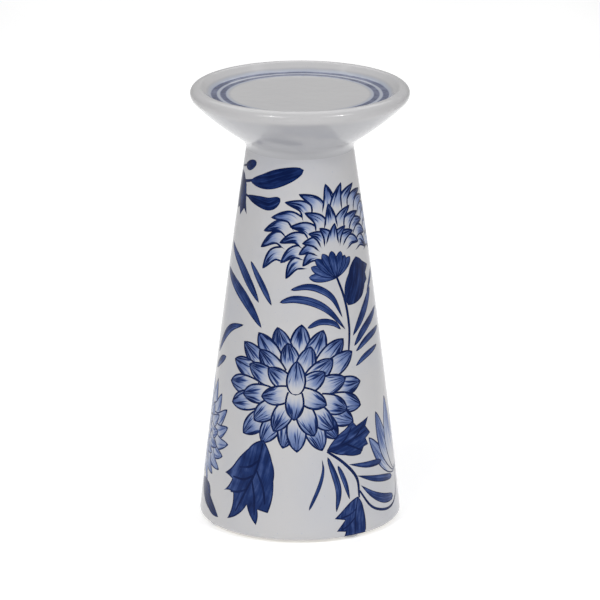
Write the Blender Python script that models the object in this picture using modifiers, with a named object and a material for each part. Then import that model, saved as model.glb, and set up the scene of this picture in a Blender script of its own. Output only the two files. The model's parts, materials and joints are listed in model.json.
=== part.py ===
"""A glazed pillar candle holder: a shallow dish luted onto a tall, slightly swelling pedestal.

Run with: blender --background --python part.py
Metres, +Z up.  The origin is on the resting plane, on the axis of the turned pieces, and -Y is the front.

The pieces, from the top down:
  candle_dish      turned dish with a hollow flared foot and a spigot that drops into the pedestal's neck
  pedestal_body    cast tapered shell, open at both ends, rebated at the foot
  base_disc        slab with a vent hole, seated in the foot's rebate
  bumper_*         four clear domed stick-on bumpers near the edge of the underside
"""
import math

import bmesh
import bpy
from mathutils import Vector

COLLECTION_NAME = "pillar_candle_holder"

# Driving sizes
OVERALL_HEIGHT = 0.2540
BUMPER_HEIGHT = 0.0020            # the ceramic stands this high off the table
GAP = 0.0003                      # clearance between touching pieces

# Pedestal
FOOT_RADIUS = 0.0575
FOOT_ROUND = 0.0020               # rounded bottom edge
NECK_RADIUS = 0.0304
NECK_Z = 0.2188                   # top of the pedestal, where the dish sits
TAPER_SWELL = 0.0011              # how far the taper bulges past a straight cone at mid-height
PEDESTAL_WALL = 0.0050
PEDESTAL_RINGS = 8                # profile points up each side of the taper

# Base disc and the rebate it sits in
DISC_RADIUS = 0.0520
DISC_THICKNESS = 0.0050
DISC_CHAMFER = 0.0006
VENT_RADIUS = 0.0040
LEDGE_RADIUS = 0.0500             # inner edge of the ledge that stops the disc
LEDGE_HEIGHT = 0.0080             # the ledge fades into the wall over this height

# Dish
LIP_RADIUS = 0.0621               # widest point of the rim
LIP_REACH = 0.0050                # from the crest's radius out to the widest point
LIP_DROP = 0.0038                 # from the crest down to the widest point
DISH_FLOOR_RADIUS = 0.0500
DISH_DEPTH = 0.0048               # from the crest down to the floor
DISH_COVE = Vector((0.0018, 0.0007))        # where the floor turns up into the sloping lip
DISH_CREST_EASE = Vector((0.0022, 0.0007))  # where the sloping lip rolls over the crest
DISH_FLOOR_THICKNESS = 0.0050
DISH_WALL = 0.0052
LIP_UNDERCUT = 45.0               # degrees below level at which the lip's round meets the flare
FLARE_SWELL = 0.0011              # how far the flare bulges past a straight cone
FLARE_RINGS = 5
NECK_CURVE = [                    # (out from the neck radius, up from the joint), flare first
    (0.0073, 0.0087),
    (0.0038, 0.0062),
    (0.0013, 0.0037),
    (0.0002, 0.0014),
    (0.0000, 0.0000),
]
SPIGOT_DEPTH = 0.0040
SPIGOT_WALL = 0.0035
SPIGOT_ROOT = 0.0034              # height above the joint where the hollow foot starts to open out

# Clear bumpers: placed by hand, so not quite at right angles (degrees from the front, towards +X)
BUMPER_AZIMUTHS = {
    "bumper_front_left": -66.0,
    "bumper_front_right": 34.0,
    "bumper_back_right": 114.0,
    "bumper_back_left": 214.0,
}
BUMPER_CIRCLE = 0.0515
BUMPER_RADIUS = 0.0045
BUMPER_FLAT = 0.0019              # flattened patch that meets the table

BODY_STEPS = 80
BUMPER_STEPS = 24


def clear_scene():
    for obj in list(bpy.data.objects):
        bpy.data.objects.remove(obj, do_unlink=True)


def new_collection(name):
    collection = bpy.data.collections.new(name)
    bpy.context.scene.collection.children.link(collection)
    return collection


def principled(name, color, roughness, transmission=0.0):
    """A Principled material with a colour, a roughness and, for the clear bumpers, some transmission."""
    material = bpy.data.materials.new(name)
    material.use_nodes = True
    material.diffuse_color = color
    shader = material.node_tree.nodes["Principled BSDF"]
    shader.inputs["Base Color"].default_value = color
    shader.inputs["Roughness"].default_value = roughness
    shader.inputs["Metallic"].default_value = 0.0
    shader.inputs["Transmission Weight"].default_value = transmission
    return material


def arc(centre, reach, rise, start, end, count):
    """Points on an ellipse quadrant about centre, from the start to the end angle in degrees."""
    points = []
    for index in range(count):
        angle = math.radians(start + (end - start) * index / (count - 1))
        points.append(Vector((centre.x + reach * math.cos(angle), centre.y + rise * math.sin(angle))))
    return points


def turned(name, profile, material, collection, steps, closed):
    """Turn a profile of (radius, height) points about the Z axis with a Screw modifier.

    The profile runs down its outer side, top to bottom.  A closed one makes a ring; an open one starts
    and ends on the axis.
    """
    mesh = bpy.data.meshes.new(name)
    outline = bmesh.new()
    verts = [outline.verts.new((point.x, 0.0, point.y)) for point in profile]
    for first, second in zip(verts, verts[1:]):
        outline.edges.new((first, second))
    if closed:
        outline.edges.new((verts[-1], verts[0]))
    outline.to_mesh(mesh)
    outline.free()

    obj = bpy.data.objects.new(name, mesh)
    collection.objects.link(obj)
    mesh.materials.append(material)
    screw = obj.modifiers.new("turn", "SCREW")
    screw.axis = "Z"
    screw.angle = math.tau
    screw.steps = steps
    screw.render_steps = steps
    screw.use_merge_vertices = True
    screw.merge_threshold = 0.00005
    screw.use_smooth_shade = True
    return obj


def pedestal_radius(height):
    """Outer radius of the pedestal: a straight taper from foot to neck with a slight swell."""
    bottom = BUMPER_HEIGHT + FOOT_ROUND
    up = (height - bottom) / (NECK_Z - bottom)
    return FOOT_RADIUS + (NECK_RADIUS - FOOT_RADIUS) * up + TAPER_SWELL * 4.0 * up * (1.0 - up)


def heights(low, high, count):
    return [low + (high - low) * index / (count - 1) for index in range(count)]


def pedestal_profile():
    """Outer side from neck to foot, the rounded foot, the rebate for the disc, then the inner side."""
    bottom = BUMPER_HEIGHT
    top = NECK_Z - GAP
    disc_top = bottom + DISC_THICKNESS + GAP
    ledge_top = disc_top + LEDGE_HEIGHT
    outer = [Vector((pedestal_radius(z), z)) for z in heights(top, bottom + FOOT_ROUND, PEDESTAL_RINGS)]
    foot = arc(Vector((FOOT_RADIUS - FOOT_ROUND, bottom + FOOT_ROUND)), FOOT_ROUND, FOOT_ROUND, 0, -90, 4)
    rebate = [
        Vector((DISC_RADIUS + GAP, bottom)),
        Vector((DISC_RADIUS + GAP, disc_top)),
        Vector((LEDGE_RADIUS, disc_top)),
    ]
    inner = [Vector((pedestal_radius(z) - PEDESTAL_WALL, z)) for z in heights(ledge_top, top, PEDESTAL_RINGS)]
    return outer + foot[1:] + rebate + inner


def disc_profile():
    bottom = BUMPER_HEIGHT
    top = bottom + DISC_THICKNESS
    return [
        Vector((VENT_RADIUS, top)),
        Vector((DISC_RADIUS, top)),
        Vector((DISC_RADIUS, bottom + DISC_CHAMFER)),
        Vector((DISC_RADIUS - DISC_CHAMFER, bottom)),
        Vector((VENT_RADIUS + DISC_CHAMFER, bottom)),
        Vector((VENT_RADIUS, bottom + DISC_CHAMFER)),
    ]


def dish_profile():
    """From the axis out across the floor, over the rim, down the flare, then back up the hollow foot."""
    crest_radius = LIP_RADIUS - LIP_REACH
    lip_z = OVERALL_HEIGHT - LIP_DROP
    floor_z = OVERALL_HEIGHT - DISH_DEPTH
    lip_centre = Vector((crest_radius, lip_z))

    floor_edge = Vector((DISH_FLOOR_RADIUS, floor_z))
    crest = Vector((crest_radius, OVERALL_HEIGHT))
    bowl = [Vector((0.0, floor_z)), floor_edge, floor_edge + DISH_COVE, crest - DISH_CREST_EASE]
    upper_lip = arc(lip_centre, LIP_REACH, LIP_DROP, 90, 0, 5)
    lower_lip = arc(lip_centre, LIP_REACH, LIP_REACH, 0, -LIP_UNDERCUT, 4)

    neck = [Vector((NECK_RADIUS + out, NECK_Z + up)) for out, up in NECK_CURVE]
    flare_top = lower_lip[-1]
    flare_foot = neck[0]
    flare = []
    for index in range(1, FLARE_RINGS - 1):
        down = index / (FLARE_RINGS - 1)
        point = flare_top.lerp(flare_foot, down)
        point.x += FLARE_SWELL * 4.0 * down * (1.0 - down)
        flare.append(point)

    spigot_outer = NECK_RADIUS - PEDESTAL_WALL - GAP
    spigot_inner = spigot_outer - SPIGOT_WALL
    spigot = [
        Vector((spigot_outer, NECK_Z)),
        Vector((spigot_outer, NECK_Z - SPIGOT_DEPTH)),
        Vector((spigot_inner, NECK_Z - SPIGOT_DEPTH)),
    ]

    underfloor_z = floor_z - DISH_FLOOR_THICKNESS
    along = (flare_top - flare_foot).normalized()
    inward = Vector((-along.y, along.x))
    inner_foot = flare_foot + inward * DISH_WALL
    inner_top = inner_foot + along * ((underfloor_z - inner_foot.y) / along.y)
    hollow = [
        Vector((spigot_inner, NECK_Z + SPIGOT_ROOT)),
        inner_foot,
        inner_top,
        Vector((0.0, underfloor_z)),
    ]
    return bowl + upper_lip + lower_lip[1:] + flare + neck + spigot + hollow


def bumper_profile():
    """A low dome, sticky side up, with a flattened crown that meets the table."""
    top = BUMPER_HEIGHT - GAP
    dome = arc(Vector((BUMPER_FLAT, top)), BUMPER_RADIUS - BUMPER_FLAT, top, 0, -90, 6)
    return [Vector((0.0, top))] + dome + [Vector((0.0, 0.0))]


def build():
    clear_scene()
    holder = new_collection(COLLECTION_NAME)
    glaze = principled("tin_white_glaze", (0.78, 0.78, 0.80, 1.0), 0.12)
    dish_glaze = principled("dish_white_glaze", (0.80, 0.80, 0.82, 1.0), 0.12)
    biscuit = principled("unglazed_biscuit", (0.78, 0.74, 0.67, 1.0), 0.85)
    silicone = principled("clear_silicone", (0.90, 0.91, 0.92, 1.0), 0.2, transmission=0.8)

    turned("candle_dish", dish_profile(), dish_glaze, holder, BODY_STEPS, closed=False)
    turned("pedestal_body", pedestal_profile(), glaze, holder, BODY_STEPS, closed=True)
    turned("base_disc", disc_profile(), biscuit, holder, BODY_STEPS, closed=True)
    for name, degrees in BUMPER_AZIMUTHS.items():
        azimuth = math.radians(degrees)
        bumper = turned(name, bumper_profile(), silicone, holder, BUMPER_STEPS, closed=False)
        bumper.location = (BUMPER_CIRCLE * math.sin(azimuth), -BUMPER_CIRCLE * math.cos(azimuth), 0.0)


build()
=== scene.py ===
"""Looks for the glazed pillar candle holder: fine turned surfaces, glaze, cobalt painting and bumpers.

The painting is drawn as marks in millimetres on the unrolled pedestal, in panels: x runs around the
surface from the panel's middle line, to the right as seen, and y is the height above the table.  Every
mark is a brush shape with an outline.  The marks are cut into the mesh of the pedestal's glaze, and each
face corner keeps its place in the mark that lies on top, which the ink in the glaze's material reads.
"""
import json
import math
import random
from dataclasses import dataclass, field

import bpy
import numpy as np
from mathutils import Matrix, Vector
from mathutils.geometry import delaunay_2d_cdt


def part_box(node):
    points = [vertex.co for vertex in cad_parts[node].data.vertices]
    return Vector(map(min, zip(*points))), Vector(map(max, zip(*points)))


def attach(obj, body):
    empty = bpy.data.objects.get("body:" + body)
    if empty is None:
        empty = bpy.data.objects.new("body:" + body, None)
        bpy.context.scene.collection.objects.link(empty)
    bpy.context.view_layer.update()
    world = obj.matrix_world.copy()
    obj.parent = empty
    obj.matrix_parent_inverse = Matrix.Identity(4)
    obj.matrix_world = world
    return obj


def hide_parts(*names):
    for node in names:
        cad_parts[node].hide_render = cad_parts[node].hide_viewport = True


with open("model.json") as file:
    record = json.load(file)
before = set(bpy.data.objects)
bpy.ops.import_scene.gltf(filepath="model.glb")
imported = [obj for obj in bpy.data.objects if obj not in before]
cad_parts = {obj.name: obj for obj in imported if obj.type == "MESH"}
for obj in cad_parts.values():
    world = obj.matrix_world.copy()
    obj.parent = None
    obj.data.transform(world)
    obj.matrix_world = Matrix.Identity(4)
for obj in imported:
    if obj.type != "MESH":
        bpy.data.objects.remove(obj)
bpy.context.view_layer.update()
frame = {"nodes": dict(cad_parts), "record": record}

MM = 0.001

# ---------------------------------------------------------------- sizes, in millimetres, from the frame


def node_box_mm(name):
    """(low, high) corners of a CAD node in millimetres."""
    low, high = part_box(name)
    return np.array(low) / MM, np.array(high) / MM


MOUNTS = {mount["name"]: mount for mount in frame["record"]["mounts"]}
DISH_LOW, DISH_HIGH = node_box_mm("candle_dish")
PEDESTAL_LOW, PEDESTAL_HIGH = node_box_mm("pedestal_body")
BUMPERS = ["bumper_front_left", "bumper_front_right", "bumper_back_right", "bumper_back_left"]

CREST_Z = float(DISH_HIGH[2])
RIM_RADIUS = float(DISH_HIGH[0])
FLOOR_Z = MOUNTS["candle_seat"]["pos_m"][2] / MM
SPIGOT_BOTTOM = float(DISH_LOW[2])
FOOT_RADIUS = float(PEDESTAL_HIGH[0])
FOOT_Z = float(PEDESTAL_LOW[2])
NECK_Z = float(PEDESTAL_HIGH[2]) + 0.3      # the dish sits one 0.3 mm gap above the pedestal
NECK_RADIUS = 30.4
FOOT_ROUND = 2.0                            # radius of the foot's rounded edge
TAPER_SWELL = 1.1                           # how far the taper bulges half way up
GLAZE = 0.15                                # the glaze stands this far off the clay
PEDESTAL_WALL = 5.0


# ---------------------------------------------------------------- small helpers


def new_object(name, data):
    obj = bpy.data.objects.new(name, data)
    bpy.context.scene.collection.objects.link(obj)
    return obj


def smoothstep(edge0, edge1, value):
    ramp = np.clip((value - edge0) / (edge1 - edge0), 0.0, 1.0)
    return ramp * ramp * (3.0 - 2.0 * ramp)


def smooth_curve(points, count):
    """A Catmull-Rom curve through the points, sampled evenly in parameter."""
    knots = np.array(points, float)
    if len(knots) == 2:
        steps = np.linspace(0.0, 1.0, count)[:, None]
        return knots[0] * (1.0 - steps) + knots[1] * steps
    padded = np.vstack([2.0 * knots[0] - knots[1], knots, 2.0 * knots[-1] - knots[-2]])
    places = np.linspace(0.0, len(knots) - 1.0, count)
    index = np.minimum(places.astype(int), len(knots) - 2)
    t = (places - index)[:, None]
    a, b, c, d = (padded[index + shift] for shift in range(4))
    return 0.5 * (2.0 * b + (c - a) * t + (2.0 * a - 5.0 * b + 4.0 * c - d) * t**2
                  + (3.0 * b - a - 3.0 * c + d) * t**3)


# ---------------------------------------------------------------- the glazed pedestal's surface


def taper_radius(y):
    """Radius of the clay at height y: a straight taper from foot to neck with a slight swell."""
    bottom = FOOT_Z + FOOT_ROUND
    up = (y - bottom) / (NECK_Z - bottom)
    return FOOT_RADIUS + (NECK_RADIUS - FOOT_RADIUS) * up + TAPER_SWELL * 4.0 * up * (1.0 - up)


def taper_slope(y):
    """Change of radius with height on the taper."""
    bottom = FOOT_Z + FOOT_ROUND
    length = NECK_Z - bottom
    up = (y - bottom) / length
    return (NECK_RADIUS - FOOT_RADIUS + TAPER_SWELL * 4.0 * (1.0 - 2.0 * up)) / length


def glaze_surface(azimuth, y):
    """Points and outward normals of the glaze.  Below the taper, y keeps running round the foot's edge."""
    turn = np.clip((FOOT_Z + FOOT_ROUND - y) / FOOT_ROUND, 0.0, None)
    on_taper = turn <= 0.0
    up = np.maximum(y, FOOT_Z + FOOT_ROUND)
    slope = np.where(on_taper, taper_slope(up), 0.0)
    radius = np.where(
        on_taper,
        taper_radius(up) + GLAZE,
        FOOT_RADIUS - FOOT_ROUND + (FOOT_ROUND + GLAZE) * np.cos(turn),
    )
    height = np.where(on_taper, y, FOOT_Z + FOOT_ROUND - (FOOT_ROUND + GLAZE) * np.sin(turn))
    out = np.where(on_taper, 1.0, np.cos(turn))
    rise = np.where(on_taper, -slope, -np.sin(turn))
    length = np.hypot(out, rise)
    side, front = np.sin(azimuth), -np.cos(azimuth)
    points = np.stack([radius * side, radius * front, height], axis=-1)
    normals = np.stack([out / length * side, out / length * front, rise / length], axis=-1)
    return points, normals


# ---------------------------------------------------------------- marks of the brush

THINNEST_BODY = 0.12       # where less than this half-width is left inside its lines, a mark is all line
SHORTEST_SIDE = 0.02       # a mark's outline has no sides shorter than this


@dataclass
class Mark:
    """One brush shape.  paint is (outline, fill, wash): how dark the line is, how dark the body is, and how
    strongly colour runs in from the tip.  The spine runs from base to tip."""
    outer: np.ndarray
    inner: np.ndarray
    spine: np.ndarray
    reach: float
    paint: tuple
    lean: float
    seed: float
    panel: float = 0.0


@dataclass
class Painting:
    """The marks in the order they are painted, so that a later one covers an earlier one."""
    marks: list = field(default_factory=list)
    panel: float = 0.0
    chance: random.Random = field(default_factory=lambda: random.Random(17))

    def add(self, outer, inner, spine, reach, paint, lean):
        self.marks.append(Mark(outer, inner, spine, reach, paint, lean, self.chance.random(), self.panel))

    def stroke(self, points, width, shape, paint, line=0.5, line_from=0.0, lean=0.0, samples=26):
        """A shape with half-width `width` times shape(s) along a smooth spine through the points.

        line is the outline's width at the tip, and line_from is where along the spine it begins.
        """
        spine = smooth_curve(points, samples)
        along = np.linspace(0.0, 1.0, samples)
        half = width * shape(along)
        outer = ribbon(spine, half, 0, samples)
        border = line * smoothstep(line_from - 0.02, line_from + 0.25, along) if line_from else line
        inset = half - border
        kept = np.flatnonzero(inset > THINNEST_BODY)
        has_fill = paint[1] < paint[0] and len(kept) > 3
        inner = ribbon(spine, inset, kept[0], kept[-1] + 1) if has_fill else None
        self.add(outer, inner, spine, width, paint, lean)

    def leaf(self, outline, spine, reach, paint, line=0.5, lean=0.0):
        """A shape with a drawn outline.  Each outline entry is (x, y, bulge) and the bulge, a share of the
        side's length, bows the side that follows it to the left as it is drawn."""
        outer = bowed_outline(outline)
        inner = inset_outline(outer, line)
        self.add(outer, inner, smooth_curve(spine, 16), reach, paint, lean)


def ribbon(spine, half, first, last):
    """The outline of a band of varying half-width about the spine, from sample first up to last."""
    ahead = np.gradient(spine, axis=0)
    ahead /= np.maximum(np.linalg.norm(ahead, axis=1), 1e-9)[:, None]
    left = np.stack([-ahead[:, 1], ahead[:, 0]], axis=1)
    half = np.maximum(half, 0.0)[:, None]
    sides = np.vstack([(spine + left * half)[first:last], (spine - left * half)[first:last][::-1]])
    kept = [sides[0]]
    for point in sides[1:]:
        if np.linalg.norm(point - kept[-1]) > SHORTEST_SIDE:
            kept.append(point)
    return np.array(kept)


def bowed_outline(outline, steps=7):
    """Straight or bowed sides through the outline's (x, y, bulge) entries, as a closed polygon."""
    points = []
    for (x0, y0, bulge), (x1, y1, _) in zip(outline, outline[1:] + outline[:1]):
        start, end = np.array([x0, y0]), np.array([x1, y1])
        side = end - start
        bow = np.array([-side[1], side[0]]) * bulge
        for step in range(steps):
            share = step / steps
            points.append(start + side * share + bow * 4.0 * share * (1.0 - share))
    return np.array(points)


def inset_outline(outer, distance):
    """The outline moved in by a distance along its own normals, whichever way round it is drawn."""
    before, after = np.roll(outer, 1, axis=0), np.roll(outer, -1, axis=0)
    ahead = after - before
    ahead /= np.maximum(np.linalg.norm(ahead, axis=1), 1e-9)[:, None]
    left = np.stack([-ahead[:, 1], ahead[:, 0]], axis=1)
    area = np.sum(outer[:, 0] * after[:, 1] - after[:, 0] * outer[:, 1])
    return outer + left * distance * math.copysign(1.0, area)


# Half-width along a mark, from base to tip, with a greatest value of about 1


def lotus(s):
    """A full petal, broad at its base, that draws in to a small sharp point."""
    pinch = 1.0 - 0.5 * np.exp((s - 1.0) / 0.08)
    return 1.62 * (s + 0.45) ** 0.9 * np.maximum(1.0 - s, 0.0) ** 0.64 * pinch


def egg(s):
    """A petal that is round at its base and pointed at its tip."""
    return 2.32 * np.maximum(s, 0.0) ** 0.5 * np.maximum(1.0 - s, 0.0) ** 0.75


def flame(s):
    """A pointed petal, widest near its base."""
    return 1.30 * (s + 0.25) ** 0.30 * np.maximum(1.0 - s, 0.0) ** 0.74


def blade(s):
    """A long leaf, pointed at both ends."""
    return 1.86 * np.maximum(s, 0.0) ** 0.72 * np.maximum(1.0 - s, 0.0) ** 0.55


def drop(s):
    """Narrow at the base and full near the tip."""
    return 1.75 * np.maximum(s, 0.0) ** 0.95 * np.maximum(1.0 - s, 0.0) ** 0.42


def sepal(s):
    """Narrow at the base, full near the end, with a point."""
    point = 1.0 - 0.4 * np.exp((s - 1.0) / 0.07)
    return 1.93 * (s + 0.04) ** 0.95 * np.maximum(1.0 - s, 0.0) ** 0.50 * point


def stalk(s):
    """A nearly even line that tapers a little at both ends."""
    return 0.62 + 0.38 * np.sin(np.pi * np.clip(s, 0.0, 1.0)) ** 0.5


# Paints: (outline, fill, wash), as in a Mark
PETAL = (1.0, 0.0, 1.0)
FLAME_PETAL = (1.0, 0.0, 1.18)
SEPAL = (1.0, 0.72, 0.0)
DARK_LEAF = (1.0, 0.94, 0.0)
SOFT_LEAF = (1.0, 0.78, 0.0)
SOFT_BLADE = (1.0, 0.76, 0.0)
PALE_PETAL = (0.95, 0.0, 0.62)
THIN_LEAF = (0.95, 0.82, 0.0)
LINE = (1.0, 1.0, 0.0)


def polar(centre, reach, degrees):
    """The point at a distance from centre, at degrees clockwise from straight up."""
    angle = math.radians(degrees)
    return (centre[0] + reach * math.sin(angle), centre[1] + reach * math.cos(angle))


# ---------------------------------------------------------------- flowers and leaves

# Where the dahlia's petals end, in millimetres from its centre, ring by ring from the outside in
DAHLIA_TIPS = [
    [(3, 38.4), (-11, 36.4), (15.4, 34.7), (-22.6, 32), (28, 28.3), (-33, 25), (34.2, 20), (-40.7, 13.5),
     (40.3, 1.7), (-44, 0.3), (40.3, -12), (-42.3, -11.5), (34.7, -20.4), (-33.1, -27.2), (24, -28.5),
     (-20.6, -31), (14.8, -34.6), (-8, -33), (0.3, -35)],
    [(-4.9, 27.9), (8.2, 25.9), (-22, 22.5), (21.3, 17.7), (-29, 13), (29.6, 5.6), (-33.4, -5),
     (30.5, -12.8), (-25.6, -18.7), (21.3, -23), (-13.4, -23.6), (10.2, -26)],
    [(-16.7, 12.8), (16.7, 10.6), (-20.9, -4.3), (17.6, -8.6)],
]
DAHLIA_PETALS = [(21.0, 6.0), (19.0, 5.9), (17.2, 5.7)]     # length and half-width in each ring
FLOWER_LINE = 1.15         # width of the lines round the two large flowers' petals


def dahlia(painting, centre):
    """Rings of full petals about two that cross the middle, one down and one up."""
    middle = np.array(centre, float)
    for tips, (length, width) in zip(DAHLIA_TIPS, DAHLIA_PETALS):
        for spot in tips:
            out = np.array(spot, float)
            reach = np.linalg.norm(out)
            base = out * (1.0 - length / reach)
            sway = painting.chance.uniform(-0.6, 0.6) * np.array([-out[1], out[0]]) / reach
            painting.stroke([middle + base, middle + (base + out) / 2 + sway, middle + out],
                            width, lotus, PETAL, FLOWER_LINE)
    for width, shape, start, end in ((5.6, lotus, (-0.8, -0.5), (-1.4, -16.8)),
                                     (5.8, egg, (-0.6, -2.2), (0.3, 17.7))):
        spine = [middle + np.array(start), middle + np.array(end)]
        painting.stroke(spine, width, shape, PETAL, FLOWER_LINE)


CHRYSANTHEMUM_RINGS = [    # reach, petal length and half-width, and bearings clockwise from straight up
    (36.6, 17.5, 5.2, (104, -106, 91, -90, 79, -77, 67, -64, 55, -46, 43, -32, 28, -7, 10)),
    (25.2, 16.0, 5.0, (100, -121, 84, -104, 67, -83, 51, -62, 31, -38, -6)),
    (13.8, 13.0, 4.6, (90, -117, 65, -97, 39, -78, -57, -33, 6)),
]
CALYX_SEPALS = [           # bearing and reach
    (-84, 16.5), (44, 14.5), (-64, 17.0), (27, 13.5), (-47, 17.5), (-31, 17.0), (11, 15.0), (-12, 16.0),
]


def chrysanthemum(painting, centre):
    """Rings of pointed petals that fall to either side, open in the middle, over a scalloped calyx."""
    for reach, length, width, bearings in CHRYSANTHEMUM_RINGS:
        for degrees in bearings:
            fall = 10.0 * max(-1.0, min(1.0, degrees / 30.0))
            flat = 6.5 * min(1.0, 1.0 - math.cos(math.radians(degrees)))
            spread = reach + flat + painting.chance.uniform(-0.6, 0.6)
            tip = polar(centre, spread, degrees)
            middle = polar(centre, spread - length * 0.5, degrees - fall * 1.1)
            base = polar(centre, spread - length, degrees - fall)
            painting.stroke([base, middle, tip], width, flame, FLAME_PETAL, FLOWER_LINE, line_from=0.06)
    root = (centre[0] + 2.4, centre[1] - 17.0)
    for degrees, reach in CALYX_SEPALS:
        painting.stroke([root, polar(root, reach, degrees)], 3.3, sepal, SEPAL, line=0.6)


def blades(painting, shapes):
    """Long soft leaves, each a half-width and the points of its spine from base to tip."""
    for width, points in shapes:
        lean = 1.0 if points[-1][0] > points[0][0] else -1.0
        painting.stroke(points, width, blade, SOFT_BLADE, line=0.5, lean=lean)


LILY_PETALS = [            # tip from the flower's foot, half-width and bow, from back to front
    ((23, 28), 5.0, -3.0), ((-33, 26.3), 5.2, 3.5), ((15, 41), 6.2, -3.0), ((-26, 39.5), 6.0, 4.0),
    ((3, 48), 7.0, -2.0), ((-13, 45), 6.6, 3.0),
]


def lily(painting, foot):
    """A pale lily seen from its side, its petals opening up and away from its foot."""
    start = np.array(foot, float)
    for tip, width, bow in LILY_PETALS:
        out = np.array(tip, float)
        across = np.array([-out[1], out[0]]) / np.linalg.norm(out)
        spine = [start, start + out * 0.5 + across * bow, start + out]
        painting.stroke(spine, width, egg, PALE_PETAL, line=0.8)


FRINGE_RINGS = [           # reach, petal length and half-width, and degrees from one petal to the next
    (32.0, 22.0, 6.4, 17), (22.0, 17.0, 6.0, 24), (13.0, 11.0, 4.8, 36), (6.5, 7.5, 3.2, 60),
]


def fringed_flower(painting, centre):
    """Rings of long pale petals with restless tips."""
    for reach, length, width, step in FRINGE_RINGS:
        for degrees in range(-172, 188 - step // 2, step):
            turn = degrees + reach
            tip = polar(centre, reach + painting.chance.uniform(-2.4, 2.4), turn)
            middle = polar(centre, reach - length * 0.5, turn + 9.0)
            base = polar(centre, reach - length, turn + 2.0)
            painting.stroke([base, middle, tip], width, flame, PALE_PETAL, line=0.8, line_from=0.05)


def side_flowers(painting):
    """The pale flowers that fill the two sides, between the panels."""
    painting.panel = 0.0
    fringed_flower(painting, (-79, 56))
    lily(painting, (77, 30))


def line_strokes(painting, half_width, spines):
    """Thin dark lines: stems, tendrils and the veins drawn over a leaf."""
    for spine in spines:
        painting.stroke(spine, half_width, stalk, LINE)


def upper_left_sprig(painting):
    """A serrated leaf and three stalked blades under the neck."""
    painting.leaf(
        [(-41, 205, 0.0), (-37.4, 200, 0.0), (-37, 190, 0.0), (-35.8, 183.8, 0.0), (-39, 186.5, 0.0),
         (-44.5, 181.5, 0.0), (-46, 186, 0.0), (-50, 184, 0.08), (-53, 196, 0.1), (-48, 206, 0.1)],
        [(-43, 205), (-43, 184)], 7.0, DARK_LEAF)
    line_strokes(painting, 0.6, [[(-46, 208.5), (-41, 210), (-37.5, 211)]])
    painting.stroke([(-40, 210.3), (-35, 211.2), (-27.8, 214.6)], 3.5, blade, DARK_LEAF, line=0.4)
    line_strokes(painting, 0.85, [[(-46, 200.5), (-38, 202), (-30, 204.2)]])
    painting.stroke([(-33, 203), (-21, 205), (-11, 208.5), (2.2, 213.2)], 6.5, blade, DARK_LEAF, line=0.6)
    line_strokes(painting, 0.7, [[(-40, 195), (-34, 194)]])
    painting.stroke([(-36, 194.4), (-25, 193.2), (-17.5, 193), (-11.2, 196.8)], 4.7, blade, DARK_LEAF,
                    line=0.6)


def upper_flower(painting):
    """The chrysanthemum, with its stem and one leaf."""
    line_strokes(painting, 0.85, [[(21, 153), (27, 138), (30, 122), (29.5, 108)]])
    painting.leaf(
        [(29.3, 134.3, 0.16), (30, 152, 0.12), (36.4, 160.3, 0.05), (43, 156.5, 0.0), (50.5, 152.6, 0.0),
         (46.5, 149, 0.0), (48, 145, 0.0), (45, 143, 0.05), (41.5, 137, 0.10)],
        [(29.3, 134.3), (35, 148), (37, 160)], 8.0, DARK_LEAF, line=0.6)
    line_strokes(painting, 0.5, [[(29.5, 135), (34.5, 147), (37, 157)]])
    chrysanthemum(painting, (19, 168))


MIDDLE_BLADES = [          # half-width and spine of the curved leaves and blades between the two flowers
    (2.6, [(25.4, 128), (19.3, 139.5), (11.5, 145.4), (3.6, 147.4), (-5.4, 145.6)]),
    (3.0, [(27.4, 121), (17, 132.5), (7.5, 138.4), (-3, 140.4), (-11.6, 138.2)]),
    (2.4, [(24.3, 121.5), (19.3, 125.7), (11.5, 127.1), (4.2, 124)]),
    (3.7, [(32.8, 116.5), (42.5, 128.5), (51.5, 140)]),
    (3.4, [(33.6, 110.5), (43, 118.7), (60, 127)]),
    (2.8, [(34.8, 107.2), (45.2, 112.2), (62, 115.2)]),
    (2.4, [(34.6, 99), (42.9, 103), (57, 105.8)]),
    (2.4, [(47, 138), (54, 145), (59, 149)]),
    (3.9, [(-24.5, 136.5), (-31, 145.5), (-40, 155.5), (-54, 165)]),
    (2.6, [(-16.4, 136), (-22, 146), (-30.8, 159)]),
    (4.8, [(-22.6, 122.5), (-32, 134), (-42, 141.5), (-58, 149.5)]),
    (2.9, [(-35.6, 122), (-46, 118.4), (-54.5, 112), (-66, 99)]),
    (2.8, [(-52, 100.2), (-58, 97), (-68, 90)]),
]


def broad_leaf(painting):
    """The large serrated leaf that hangs from the dahlia."""
    painting.leaf(
        [(-21, 59, -0.10), (-31, 52.7, -0.03), (-41.5, 41.5, 0.04), (-49, 35.2, 0.05), (-42.8, 33, 0.06),
         (-49.8, 24.8, 0.08), (-42, 25.6, 0.05), (-42.5, 18, 0.05), (-46.5, 9.4, -0.10), (-32, 20, -0.08),
         (-26, 9.4, -0.08), (-25, 18.4, 0.0), (-18.6, 17.2, -0.06), (-15.2, 36, -0.08), (-16, 47, -0.05)],
        [(-21, 59), (-27, 38), (-38, 12)], 16.0, SOFT_LEAF, line=0.8)
    line_strokes(painting, 0.65, [
        [(-21.5, 57), (-25.5, 42), (-31, 31), (-40, 15)], [(-24, 47), (-30, 42.5), (-37, 41)],
        [(-27, 38), (-34, 34.5), (-42, 34.5)], [(-32, 29), (-38, 26.5), (-44, 25.5)],
        [(-25.5, 41), (-21.5, 31), (-20.5, 22)], [(-28.5, 35), (-27, 25), (-27, 15)],
    ])


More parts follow.
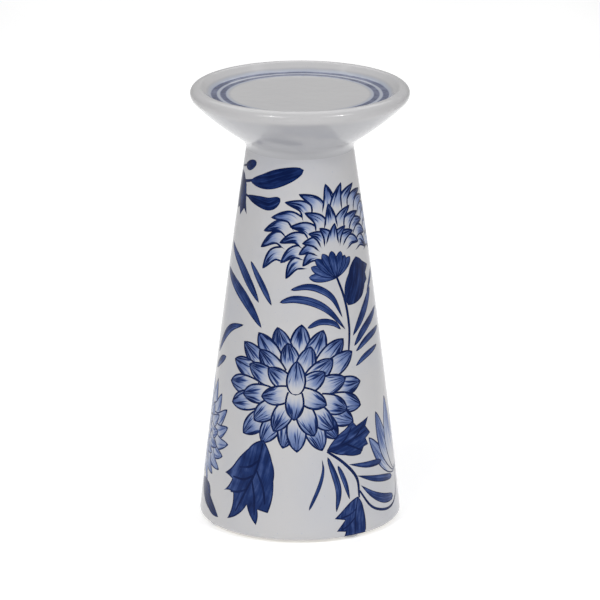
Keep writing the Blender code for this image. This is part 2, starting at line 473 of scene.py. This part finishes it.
def lower_right_spray(painting):
    """The spray under the dahlia: two serrated leaves, stems and blades."""
    painting.stroke([(12.6, 48.8), (13.2, 42), (11, 33), (5, 19.5)], 1.5, drop, THIN_LEAF, line=0.3)
    painting.leaf(
        [(15.5, 53.6, 0.05), (21, 60.5, 0.05), (26, 64, 0.0), (31.5, 68.4, 0.0), (34.5, 65.2, 0.0),
         (44, 68.4, 0.0), (41.6, 63.5, 0.0), (45.5, 59, 0.0), (41.6, 56.5, 0.0), (43.6, 52.6, 0.0),
         (40, 52, 0.0), (37.5, 48.2, 0.06), (27, 49.4, 0.06)],
        [(15.5, 53.6), (28, 57), (43, 62)], 9.0, SOFT_LEAF, line=0.7)
    line_strokes(painting, 0.5, [
        [(15.5, 53.6), (28, 56.5), (42, 61)], [(22, 55), (27, 59), (31, 65)],
        [(28, 56.5), (35, 60), (41, 66)], [(27, 56), (33, 53), (39, 50)],
    ])
    line_strokes(painting, 0.9, [[(15.5, 53), (26, 45), (34.5, 35), (36.2, 23.5)]])
    line_strokes(painting, 0.8, [[(36, 28), (45.5, 16.5), (58, 11.6), (69, 12), (76, 18), (77.5, 30)]])
    blades(painting, [
        (2.5, [(21.2, 17.5), (22.3, 31), (15.8, 49.8)]),
        (1.9, [(29.6, 23.6), (26.5, 34), (22, 44.2)]),
    ])
    for width, spine in (
        (2.6, [(29, 43.8), (42, 41.2), (56, 40)]),
        (2.8, [(34.5, 36.4), (50, 31.4), (70, 27.4)]),
        (3.7, [(37.2, 30.4), (47, 23), (58, 18), (70, 15.8)]),
    ):
        painting.stroke(spine, width, drop, SOFT_BLADE, lean=-1.0)
    painting.leaf(
        [(35, 24.4, -0.06), (28, 20.6, 0.0), (20, 13.6, 0.0), (26.5, 12.2, 0.0), (21.4, 6.2, 0.0),
         (27, 5.4, 0.0), (26, 2.4, 0.0), (40.8, 2.4, -0.05), (39.2, 17, -0.08)],
        [(35, 24.4), (33, 14), (32, 3)], 9.0, SOFT_LEAF, line=0.8)
    line_strokes(painting, 0.5, [
        [(35, 24), (33.5, 14), (33, 3)], [(34.5, 18), (30, 15), (24, 13.5)],
        [(33.5, 13), (29, 9), (24, 6.5)],
    ])


def lower_left_leaf(painting):
    """The small dark leaf at the foot, beside the broad leaf."""
    painting.leaf(
        [(-54.6, 7.8, 0.10), (-66, 9.4, 0.06), (-78, 16, 0.10), (-82, 23, 0.12), (-66.4, 23.6, 0.10),
         (-64.6, 17.6, 0.04)],
        [(-82, 22), (-68, 15), (-55, 8)], 6.0, DARK_LEAF, line=0.8)
    line_strokes(painting, 0.5, [[(-80, 21), (-68, 14.6), (-58, 9.4)]])


def main_panel(painting, azimuth):
    """The whole arrangement of flowers and leaves, about a middle line at this azimuth from the front."""
    painting.panel = azimuth
    upper_left_sprig(painting)
    upper_flower(painting)
    blades(painting, MIDDLE_BLADES)
    dahlia(painting, (-2, 88))
    broad_leaf(painting)
    lower_right_spray(painting)
    lower_left_leaf(painting)


# ---------------------------------------------------------------- the pedestal's glaze as a mesh

MAP_RADIUS = 45.0          # azimuths are laid out flat at this radius while the marks are cut in
COLUMN_DEGREES = 2.0       # the bare glaze's mesh has a point this often round the pedestal
ROW_STEP = 2.0             # and this often up it
FOOT_ROWS = 6              # and this many round the foot's edge
MERGE_DISTANCE = 1e-5      # flat points closer than this are one
GLAZE_EDGE_Y = FOOT_Z + FOOT_ROUND - FOOT_ROUND * math.radians(80)   # where the glaze ends, under the foot


def wrapped(angle):
    return (angle + np.pi) % (2.0 * np.pi) - np.pi


def to_flat(mark, polygon):
    """A polygon of the mark's panel, laid out flat around the whole pedestal."""
    radius = taper_radius(np.maximum(polygon[:, 1], FOOT_Z + FOOT_ROUND))
    azimuth = mark.panel + polygon[:, 0] / radius
    return np.stack([azimuth * MAP_RADIUS, polygon[:, 1]], axis=1)


def flat_copies(polygon):
    """The flat polygon, and its copy on the far side of the seam where it crosses the seam."""
    half = math.pi * MAP_RADIUS
    turns = [0.0]
    if polygon[:, 0].max() > half:
        turns.append(-2.0 * half)
    if polygon[:, 0].min() < -half:
        turns.append(2.0 * half)
    return [polygon + np.array([turn, 0.0]) for turn in turns]


def place_in_mark(mark, azimuth, y):
    """Each point's share of the way back from the tip, and its share of the reach to the left."""
    radius = taper_radius(np.maximum(y, FOOT_Z + FOOT_ROUND))
    points = np.stack([wrapped(azimuth - mark.panel) * radius, y], axis=1)
    starts, ends = mark.spine[:-1], mark.spine[1:]
    sides = ends - starts
    lengths = np.maximum(np.linalg.norm(sides, axis=1), 1e-9)
    ahead = sides / lengths[:, None]
    before = np.concatenate([[0.0], np.cumsum(lengths)[:-1]])
    offset = points[:, None, :] - starts[None]
    along = np.einsum("pki,ki->pk", offset, ahead)
    held = np.clip(along, 0.0, lengths)
    distance = np.linalg.norm(offset - held[..., None] * ahead, axis=2)
    best = distance.argmin(axis=1)
    rows = np.arange(len(points))
    travelled = before[best] + held[rows, best]
    left = ahead[best, 0] * offset[rows, best, 1] - ahead[best, 1] * offset[rows, best, 0]
    return 1.0 - travelled / lengths.sum(), left / mark.reach


def inside(polygon, points):
    """Which points lie inside the polygon."""
    found = np.zeros(len(points), bool)
    low, high = polygon.min(axis=0), polygon.max(axis=0)
    near = np.flatnonzero(np.all((points > low) & (points < high), axis=1))
    x, y = points[near, 0], points[near, 1]
    turns = np.zeros(len(near), int)
    for (x0, y0), (x1, y1) in zip(polygon, np.roll(polygon, -1, axis=0)):
        left = (x1 - x0) * (y - y0) - (x - x0) * (y1 - y0)
        turns += ((y0 <= y) & (y1 > y) & (left > 0.0)).astype(int)
        turns -= ((y0 > y) & (y1 <= y) & (left < 0.0)).astype(int)
    found[near] = turns != 0
    return found


def painted_glaze(painting):
    """The glaze laid flat: points, triangles, the mark on top of each (-1 for none), and whether the
    triangle lies within that mark's outline."""
    half = math.pi * MAP_RADIUS
    flat, edges, shapes = [], [], []
    for index, mark in enumerate(painting.marks):
        for role, polygon in enumerate((mark.outer, mark.inner)):
            if polygon is None:
                continue
            for copy in flat_copies(to_flat(mark, polygon)):
                first, count = len(flat), len(copy)
                edges += [(first + step, first + (step + 1) % count) for step in range(count)]
                shapes.append((index, role, copy))
                flat.extend(copy)
    columns = np.radians(np.arange(-180.0, 180.0 + COLUMN_DEGREES, COLUMN_DEGREES)) * MAP_RADIUS
    taper_foot = FOOT_Z + FOOT_ROUND
    foot_rows = np.linspace(GLAZE_EDGE_Y, taper_foot, FOOT_ROWS)
    rows = np.concatenate([foot_rows, np.arange(taper_foot + ROW_STEP, NECK_Z, ROW_STEP), [NECK_Z]])
    for number, y in enumerate(rows):
        shift = np.radians(COLUMN_DEGREES / 2.0) * MAP_RADIUS * (number % 2)
        flat += [np.array([min(x + shift, half), y]) for x in columns]
    border = [(-half, rows[0]), (half, rows[0]), (half, rows[-1]), (-half, rows[-1])]
    edges += [(len(flat) + step, len(flat) + (step + 1) % 4) for step in range(4)]
    flat += [np.array(corner) for corner in border]

    cut = delaunay_2d_cdt([Vector(point) for point in flat], edges, [], 0, MERGE_DISTANCE, False)
    verts, triangles = np.array([tuple(v) for v in cut[0]]), np.array(cut[2])
    middles = verts[triangles].mean(axis=1)
    within = np.all((middles > np.array(border[0])) & (middles < np.array(border[2])), axis=1)
    triangles, middles = triangles[within], middles[within]
    tops = np.full(len(triangles), -1)
    filled = np.zeros(len(triangles), bool)
    for index, role, copy in shapes:
        covered = inside(copy, middles)
        if role == 0:
            tops[covered] = index
            filled[covered] = False
        else:
            filled[covered & (tops == index)] = True
    return verts, triangles, tops, filled


def glaze_mesh(painting):
    """The painted skin of glaze, with every face corner's place in its mark and its paint as attributes."""
    verts, triangles, tops, filled = painted_glaze(painting)
    azimuth, y = verts[:, 0] / MAP_RADIUS, verts[:, 1]
    points, normals = glaze_surface(azimuth, y)
    _, first, joined = np.unique(np.round(points, 4), axis=0, return_index=True, return_inverse=True)
    joined = joined.reshape(-1)
    faces = joined[triangles]
    whole = (faces[:, 0] != faces[:, 1]) & (faces[:, 1] != faces[:, 2]) & (faces[:, 2] != faces[:, 0])
    triangles, faces, tops, filled = triangles[whole], faces[whole], tops[whole], filled[whole]
    corner_points = triangles.reshape(-1)

    mesh = bpy.data.meshes.new("painted_glaze")
    mesh.from_pydata((points[first] * MM).tolist(), [], faces.tolist())
    place = np.zeros((len(corner_points), 3))
    paint = np.zeros((len(corner_points), 3))
    lean = np.zeros(len(corner_points))
    corner_tops = np.repeat(tops, 3)
    corner_filled = np.repeat(filled, 3)
    for index, mark in enumerate(painting.marks):
        chosen = np.flatnonzero(corner_tops == index)
        if not len(chosen):
            continue
        spots = corner_points[chosen]
        back, left = place_in_mark(mark, azimuth[spots], y[spots])
        place[chosen] = np.stack([back, left, np.full(len(chosen), mark.seed)], axis=1)
        line, fill, wash = mark.paint
        in_body = corner_filled[chosen]
        paint[chosen, 0] = np.where(in_body, 0.0, line)
        paint[chosen, 1] = np.where(in_body, fill, 0.0)
        paint[chosen, 2] = np.where(in_body, wash, 0.0)
        lean[chosen] = mark.lean
    for name, kind, member, values in (
        ("mark_place", "FLOAT_VECTOR", "vector", place),
        ("mark_paint", "FLOAT_VECTOR", "vector", paint),
        ("mark_lean", "FLOAT", "value", lean),
    ):
        attribute = mesh.attributes.new(name, kind, "CORNER")
        attribute.data.foreach_set(member, values.reshape(-1))
    mesh.shade_smooth()
    mesh.normals_split_custom_set_from_vertices(normals[first].tolist())
    return mesh


# ---------------------------------------------------------------- materials


class Nodes:
    """Adds shader nodes to a material and links them.  A value may be a socket or a constant."""

    def __init__(self, name):
        self.material = bpy.data.materials.new(name)
        self.material.use_nodes = True
        self.tree = self.material.node_tree
        self.shader = self.tree.nodes["Principled BSDF"]

    def add(self, kind, values=(), **settings):
        node = self.tree.nodes.new(kind)
        for key, value in settings.items():
            setattr(node, key, value)
        for key, value in dict(values).items():
            self.feed(node.inputs[key], value)
        return node

    def feed(self, socket, value):
        if isinstance(value, bpy.types.NodeSocket):
            self.tree.links.new(value, socket)
        else:
            socket.default_value = value

    def math(self, operation, a, b=0.0, c=0.0):
        return self.add("ShaderNodeMath", {0: a, 1: b, 2: c}, operation=operation).outputs[0]

    def attribute(self, name):
        return self.add("ShaderNodeAttribute", attribute_name=name)

    def split(self, vector):
        return self.add("ShaderNodeSeparateXYZ", {0: vector}).outputs

    def join(self, x, y, z):
        return self.add("ShaderNodeCombineXYZ", {0: x, 1: y, 2: z}).outputs[0]

    def noise(self, vector, scale, detail=2.0, roughness=0.5):
        values = {"Vector": vector, "Scale": scale, "Detail": detail, "Roughness": roughness}
        return self.add("ShaderNodeTexNoise", values).outputs["Fac"]

    def ramp(self, value, low, high, low_out=0.0, high_out=1.0, smooth=True):
        values = {"Value": value, "From Min": low, "From Max": high, "To Min": low_out, "To Max": high_out}
        kind = "SMOOTHSTEP" if smooth else "LINEAR"
        return self.add("ShaderNodeMapRange", values, interpolation_type=kind).outputs["Result"]

    def colours(self, value, stops):
        node = self.add("ShaderNodeValToRGB", {"Fac": value})
        elements = node.color_ramp.elements
        while len(elements) < len(stops):
            elements.new(0.5)
        for element, (position, colour) in zip(elements, stops):
            element.position = position
            element.color = (*colour, 1.0)
        return node.outputs["Color"]

    def place(self):
        return self.add("ShaderNodeTexCoord").outputs["Object"]

    def from_axis(self, x, y):
        """Distance from the object's Z axis."""
        return self.math("SQRT", self.math("ADD", self.math("MULTIPLY", x, x), self.math("MULTIPLY", y, y)))

    def about_zero(self, value):
        """A value that runs from 0 to 1, moved to run from -0.5 to 0.5."""
        return self.math("SUBTRACT", value, 0.5)

    def bump(self, height, distance, strength):
        values = {"Height": height, "Distance": distance, "Strength": strength}
        return self.add("ShaderNodeBump", values).outputs["Normal"]


GLAZE_WHITE = (0.538, 0.533, 0.540)
GLAZE_ROUGHNESS = 0.11
PEDESTAL_GLOSS = 0.08
DISH_GLOSS = 0.45
# Ink strength to colour, in linear light: bare glaze, haze, pale wash, mid wash, cobalt, darkest line
INK_STOPS = [
    (0.00, GLAZE_WHITE),
    (0.12, (0.41, 0.44, 0.53)),
    (0.32, (0.19, 0.25, 0.43)),
    (0.55, (0.062, 0.103, 0.270)),
    (0.78, (0.011, 0.030, 0.125)),
    (1.00, (0.002, 0.009, 0.056)),
]


def glaze_finish(nodes, place, gloss):
    """What every glazed surface shares: its gloss, and a faint orange-peel ripple."""
    nodes.shader.inputs["Roughness"].default_value = GLAZE_ROUGHNESS
    nodes.shader.inputs["IOR"].default_value = 1.5
    nodes.shader.inputs["Specular IOR Level"].default_value = gloss
    ripple = nodes.noise(place, 160.0, 1.0)
    pits = nodes.noise(place, 900.0, 0.0)
    height = nodes.math("MULTIPLY_ADD", pits, 0.15, ripple)
    nodes.feed(nodes.shader.inputs["Normal"], nodes.bump(height, 0.0004, 0.25))


def glaze_tint(nodes, place):
    """How much faint grey-blue the bare glaze has: slow clouds and fine iron specks."""
    clouds = nodes.ramp(nodes.noise(place, 22.0, 3.0), 0.35, 0.75, 0.0, 0.035)
    specks = nodes.ramp(nodes.noise(place, 1400.0, 0.0), 0.80, 0.86, 0.0, 0.12)
    return nodes.math("ADD", clouds, specks)


def painted_glaze_material():
    """White glaze with the marks' ink: outlines, petals that darken to the tip, and streaky leaves."""
    nodes = Nodes("cobalt_painted_glaze")
    place = nodes.place()
    back, left, seed = nodes.split(nodes.attribute("mark_place").outputs["Vector"])
    line, fill, wash = nodes.split(nodes.attribute("mark_paint").outputs["Vector"])
    lean = nodes.attribute("mark_lean").outputs["Fac"]
    shift = nodes.math("MULTIPLY", seed, 57.0)      # gives every mark its own part of each noise

    # Streaks that the brush leaves along a mark
    streak_across = nodes.math("MULTIPLY_ADD", left, 3.2, shift)
    along = nodes.join(streak_across, nodes.math("MULTIPLY", back, 1.1), shift)
    streak = nodes.noise(along, 1.6, 3.0, 0.6)
    pool = nodes.noise(place, 140.0, 3.0)

    # Lines that fan back from a petal's tip, each to a length of its own
    fan = nodes.math("DIVIDE", left, nodes.math("ADD", back, 0.10))
    fan_across = nodes.math("MULTIPLY_ADD", fan, 1.5, shift)
    fan_place = nodes.join(fan_across, nodes.math("MULTIPLY", back, 0.5), seed)
    fan_line = nodes.ramp(nodes.noise(fan_place, 2.3, 1.0), 0.51, 0.55)
    fan_reach = nodes.noise(nodes.join(nodes.math("MULTIPLY_ADD", fan, 1.8, shift), seed, 0.0), 1.7, 1.0)
    fan_end = nodes.math("SUBTRACT", nodes.math("MULTIPLY", fan_reach, 1.05), back)
    fan_line = nodes.math("MULTIPLY", fan_line, nodes.ramp(fan_end, -0.10, 0.12))

    # Wash: dark at the tip, gone before the base, with a streaky end
    faded = nodes.math("MULTIPLY_ADD", nodes.about_zero(streak), 0.5, back)
    tone = nodes.ramp(faded, 0.90, 0.02, 0.02, 0.56)
    tone = nodes.math("MULTIPLY", tone, nodes.ramp(pool, 0.2, 0.8, 0.75, 1.2))
    petal = nodes.math("MULTIPLY", nodes.math("MULTIPLY_ADD", fan_line, 0.50, tone), wash)

    # Body of a leaf: streaky, darker towards one edge and where ink pooled
    depth = nodes.math("MULTIPLY_ADD", nodes.about_zero(streak), 0.95, fill)
    depth = nodes.math("MULTIPLY_ADD", nodes.about_zero(pool), 0.40, depth)
    depth = nodes.math("MULTIPLY_ADD", nodes.math("MULTIPLY", lean, left), 0.18, depth)
    leaf = nodes.math("MULTIPLY", depth, nodes.ramp(fill, 0.0, 0.05, smooth=False))

    edge = nodes.math("MULTIPLY", line, nodes.ramp(pool, 0.2, 0.8, 0.88, 1.06))
    ink = nodes.math("MAXIMUM", nodes.math("MAXIMUM", petal, leaf), edge)
    ink = nodes.math("MAXIMUM", ink, glaze_tint(nodes, place))
    nodes.feed(nodes.shader.inputs["Base Color"], nodes.colours(ink, INK_STOPS))
    glaze_finish(nodes, place, PEDESTAL_GLOSS)
    return nodes.material


RINGS = ((43.4, 2.0), (48.6, 2.1))       # the two painted rings in the dish: radius and half-width
SHADE_UNDER_LIP = (9.5, 5.0)                   # painted shade under the lip: full this far below the crest, and gone by this far
RING_AND_SHADE_STOPS = [                           # bare glaze, the painted shade under the lip, halo, ring's edge, ring
    (0.0, GLAZE_WHITE),
    (0.12, (0.455, 0.455, 0.472)),
    (0.3, (0.41, 0.44, 0.51)),
    (0.7, (0.20, 0.225, 0.33)),
    (1.0, (0.062, 0.078, 0.155)),
]


def dish_glaze_material():
    """The same glaze with painted shade that makes it a little greyer under the lip, and two soft-edged
    rings painted in the dish.
    """
    nodes = Nodes("ringed_dish_glaze")
    place = nodes.place()
    x, y, z = nodes.split(place)
    waver = nodes.math("MULTIPLY", nodes.about_zero(nodes.noise(place, 45.0, 2.0)), 0.0007)
    radius = nodes.math("ADD", nodes.from_axis(x, y), waver)
    brush = nodes.ramp(nodes.noise(place, 120.0, 3.0), 0.25, 0.75, 0.85, 1.12)
    above = nodes.ramp(z, (FLOOR_Z - 1.0) * MM, (FLOOR_Z - 0.5) * MM, smooth=False)
    # Painted shade: below the lip, on the flare and everything under it, the glaze is coloured greyer, as
    # if the rim shaded it
    under = nodes.ramp(z, (CREST_Z - SHADE_UNDER_LIP[0]) * MM, (CREST_Z - SHADE_UNDER_LIP[1]) * MM, 0.13, 0.0)
    ink = nodes.math("MAXIMUM", glaze_tint(nodes, place), under)
    for middle, half in RINGS:
        away = nodes.math("ABSOLUTE", nodes.math("SUBTRACT", radius, middle * MM))
        line = nodes.ramp(away, (half - 0.9) * MM, (half + 0.5) * MM, 0.95, 0.0)
        halo = nodes.ramp(away, half * MM, (half + 3.0) * MM, 0.32, 0.0)
        band = nodes.math("MULTIPLY", nodes.math("MAXIMUM", line, halo), brush)
        ink = nodes.math("MAXIMUM", ink, nodes.math("MULTIPLY", band, above))
    nodes.feed(nodes.shader.inputs["Base Color"], nodes.colours(ink, RING_AND_SHADE_STOPS))
    glaze_finish(nodes, place, DISH_GLOSS)
    return nodes.material


def biscuit_material():
    """Unglazed fired clay: cream, matt, finely pitted, wiped in rings, with a few dark grains."""
    nodes = Nodes("unglazed_biscuit_clay")
    place = nodes.place()
    x, y, _ = nodes.split(place)
    wiped = nodes.noise(nodes.join(nodes.from_axis(x, y), 0.0, 0.0), 900.0, 3.0)
    cloud = nodes.noise(place, 60.0, 4.0)
    tone = nodes.math("MULTIPLY_ADD", wiped, 0.35, nodes.math("MULTIPLY", cloud, 0.65))
    grain = nodes.ramp(nodes.noise(place, 1600.0, 1.0), 0.70, 0.78, 0.0, 0.55)
    tone = nodes.math("SUBTRACT", tone, grain)
    stops = [(0.0, (0.20, 0.17, 0.14)), (0.30, (0.60, 0.56, 0.50)), (0.60, (0.72, 0.69, 0.64))]
    nodes.feed(nodes.shader.inputs["Base Color"], nodes.colours(tone, stops))
    nodes.shader.inputs["Roughness"].default_value = 0.85
    height = nodes.math("MULTIPLY_ADD", nodes.noise(place, 1200.0, 3.0), 0.6, wiped)
    nodes.feed(nodes.shader.inputs["Normal"], nodes.bump(height, 0.0003, 0.5))
    return nodes.material


def silicone_material():
    """Clear soft plastic, a little clouded."""
    nodes = Nodes("clear_silicone")
    nodes.shader.inputs["Base Color"].default_value = (0.74, 0.76, 0.78, 1.0)
    nodes.shader.inputs["IOR"].default_value = 1.41
    nodes.shader.inputs["Transmission Weight"].default_value = 0.5
    haze = nodes.noise(nodes.place(), 500.0, 2.0)
    nodes.feed(nodes.shader.inputs["Roughness"], nodes.ramp(haze, 0.2, 0.8, 0.10, 0.28))
    return nodes.material


# ---------------------------------------------------------------- turned pieces

DISH_SEGMENTS, DOME_SEGMENTS, FLOOR_SEGMENTS = 240, 64, 96
BUMPER_CROWN = 1.9         # radius of the flat crown on which a bumper stands, in millimetres


def turned_mesh(name, profile, segments):
    """A surface turned about Z from (radius, height) points in millimetres, where a radius of 0 ends in one
    point on the axis.  The profile starts on the axis and runs down the outer side."""
    verts, faces, rings = [], [], []
    for radius, height in profile:
        if radius == 0.0:
            rings.append([len(verts)] * segments)
            verts.append((0.0, 0.0, height * MM))
            continue
        rings.append(list(range(len(verts), len(verts) + segments)))
        for step in range(segments):
            angle = math.tau * step / segments
            verts.append((radius * math.cos(angle) * MM, radius * math.sin(angle) * MM, height * MM))
    for upper, lower in zip(rings, rings[1:]):
        for step in range(segments):
            following = (step + 1) % segments
            corners = [upper[step], lower[step], lower[following], upper[following]]
            faces.append(list(dict.fromkeys(corners)))
    mesh = bpy.data.meshes.new(name)
    mesh.from_pydata(verts, [], faces)
    mesh.shade_smooth()
    mesh.set_sharp_from_angle(angle=math.radians(50.0))
    return mesh


def quadrant(centre, reach, rise, start, end, count):
    """Points on an ellipse about centre, between two angles in degrees."""
    angles = np.radians(np.linspace(start, end, count))
    return [(centre[0] + reach * math.cos(a), centre[1] + rise * math.sin(a)) for a in angles]


def dish_profile():
    """Floor, sloping lip, rounded rim, swelling flare, soft neck, spigot and the hollow underneath."""
    lip_reach, lip_drop, undercut = 5.0, 3.8, 45.0
    crest_radius = RIM_RADIUS - lip_reach
    lip_centre = (crest_radius, CREST_Z - lip_drop)
    lip_slope = smooth_curve([(49.0, FLOOR_Z), (50.6, FLOOR_Z + 0.25), (54.2, CREST_Z - 1.75),
                              (56.0, CREST_Z - 0.35), (crest_radius, CREST_Z)], 28)
    upper = quadrant(lip_centre, lip_reach, lip_drop, 88, 0, 16)
    lower = quadrant(lip_centre, lip_reach, lip_reach, -4, -undercut, 10)

    flare_top, flare_foot = np.array(lower[-1]), np.array([37.7, NECK_Z + 8.7])
    flare = []
    for down in np.linspace(0.0, 1.0, 14)[1:-1]:
        point = flare_top + (flare_foot - flare_top) * down
        flare.append((point[0] + 1.1 * 4.0 * down * (1.0 - down), point[1]))
    neck = smooth_curve([flare_foot, (34.1, NECK_Z + 6.1), (31.8, NECK_Z + 3.7), (30.75, NECK_Z + 1.5),
                         (NECK_RADIUS + GLAZE, NECK_Z)], 18)

    spigot_outer = NECK_RADIUS - PEDESTAL_WALL - 0.3
    spigot_inner = spigot_outer - 3.5
    under_z = FLOOR_Z - 5.0
    hollow = [(NECK_RADIUS - 0.1, NECK_Z), (spigot_outer, NECK_Z), (spigot_outer, SPIGOT_BOTTOM),
              (spigot_inner, SPIGOT_BOTTOM), (spigot_inner, NECK_Z + 3.4), (46.0, under_z), (0.0, under_z)]
    centre = [(0.0, FLOOR_Z), (16.0, FLOOR_Z), (32.0, FLOOR_Z), (42.0, FLOOR_Z)]
    parts = centre + lip_slope.tolist() + upper + lower + flare + neck.tolist() + hollow
    return [tuple(point) for point in parts]


def bumper_profile(radius, height):
    """A low dome with its flat, sticky side up."""
    dome = quadrant((BUMPER_CROWN, height), radius - BUMPER_CROWN, height, 0, -90, 14)
    return [(0.0, height)] + dome + [(0.0, 0.0)]


def build_pieces():
    painting = Painting()
    side_flowers(painting)
    main_panel(painting, math.pi)
    main_panel(painting, 0.0)
    skin = new_object("painted_glaze", glaze_mesh(painting))
    skin.data.materials.append(painted_glaze_material())
    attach(skin, "root")

    dish = new_object("glazed_dish", turned_mesh("glazed_dish", dish_profile(), DISH_SEGMENTS))
    dish.data.materials.append(dish_glaze_material())
    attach(dish, "root")
    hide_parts("candle_dish")

    biscuit = biscuit_material()
    for name in ("pedestal_body", "base_disc"):
        node = frame["nodes"][name]
        node.material_slots[0].link = "OBJECT"
        node.material_slots[0].material = biscuit

    silicone = silicone_material()
    for name in BUMPERS:
        low, high = node_box_mm(name)
        middle = (low + high) / 2.0
        radius = float(high[0] - low[0]) / 2.0
        dome = turned_mesh(name, bumper_profile(radius, FOOT_Z), DOME_SEGMENTS)
        bumper = new_object(name + "_dome", dome)
        bumper.location = (middle[0] * MM, middle[1] * MM, 0.0)
        bumper.data.materials.append(silicone)
        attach(bumper, "root")
        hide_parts(name)


# ---------------------------------------------------------------- camera, floor and light

CAMERA_DISTANCE = 2.933
CAMERA_ELEVATION = math.radians(16.8)
CAMERA_AIM_Z = 0.1276
CAMERA_LENS = 308.0

WORLD_STRENGTH = 0.36
FLOOR_RADIUS = 3000.0      # in millimetres
FLOOR_GLOW = 0.30          # emission in a lane along Y, so that the background is white
GLOW_SIDES = (0.20, 0.45)      # the lane fades out between these distances from its middle line
GLOW_FRONT = (-0.36, -0.10)    # and fades in between these places in front of the object
LIGHTS_AIM = (0.0, 0.0, 0.14)
LIGHTS = [                 # name, place, size and watts: two keys, their glints on the lip, a top light
    ("key_left", (-1.05, -1.65, 1.75), (1.1, 1.1), 12.5),
    ("key_right", (1.45, -1.35, 1.75), (1.1, 1.1), 9.0),
    ("glint_left", (-1.05, -1.65, 1.7), (0.20, 0.20), 10.0),
    ("glint_right", (1.45, -1.35, 1.7), (0.20, 0.20), 9.5),
    ("overhead", (0.0, 0.9, 1.7), (1.7, 1.4), 10.5),
]


def aim(obj, target):
    obj.rotation_euler = (Vector(target) - obj.location).to_track_quat("-Z", "Y").to_euler()


def add_camera():
    camera = new_object("camera", bpy.data.cameras.new("camera"))
    camera.data.lens = CAMERA_LENS
    camera.data.sensor_width = 36.0
    camera.data.clip_end = 20.0
    camera.location = (
        0.0,
        -CAMERA_DISTANCE * math.cos(CAMERA_ELEVATION),
        CAMERA_AIM_Z + CAMERA_DISTANCE * math.sin(CAMERA_ELEVATION),
    )
    aim(camera, (0.0, 0.0, CAMERA_AIM_Z))
    bpy.context.scene.camera = camera


def add_softbox(name, location, size, watts):
    light = bpy.data.lights.new(name, "AREA")
    light.shape = "RECTANGLE"
    light.size, light.size_y = size
    light.energy = watts
    lamp = new_object(name, light)
    lamp.location = location
    aim(lamp, LIGHTS_AIM)


def floor_material():
    """A pale floor with a lane that glows, from just in front of the object to far behind it."""
    nodes = Nodes("pale_floor")
    place = nodes.place()
    nodes.shader.inputs["Roughness"].default_value = 0.9
    tint = nodes.ramp(nodes.noise(place, 3.0, 2.0), 0.3, 0.7, 0.93, 0.96)
    nodes.feed(nodes.shader.inputs["Base Color"], nodes.join(tint, tint, tint))
    nodes.shader.inputs["Emission Color"].default_value = (1.0, 1.0, 1.0, 1.0)
    across, behind, _ = nodes.split(place)
    lane = nodes.ramp(nodes.math("ABSOLUTE", across), *GLOW_SIDES, FLOOR_GLOW, 0.0)
    glow = nodes.math("MULTIPLY", lane, nodes.ramp(behind, *GLOW_FRONT))
    nodes.feed(nodes.shader.inputs["Emission Strength"], glow)
    return nodes.material


def add_studio():
    world = bpy.data.worlds.new("studio")
    world.use_nodes = True
    world.node_tree.nodes["Background"].inputs["Color"].default_value = (1.0, 1.0, 1.0, 1.0)
    world.node_tree.nodes["Background"].inputs["Strength"].default_value = WORLD_STRENGTH
    bpy.context.scene.world = world

    floor = new_object("floor", turned_mesh("floor", [(0.0, 0.0), (FLOOR_RADIUS, 0.0)], FLOOR_SEGMENTS))
    floor.data.materials.append(floor_material())

    for name, location, size, watts in LIGHTS:
        add_softbox(name, location, size, watts)


bpy.context.scene.view_settings.view_transform = "Standard"
add_camera()
build_pieces()
add_studio()
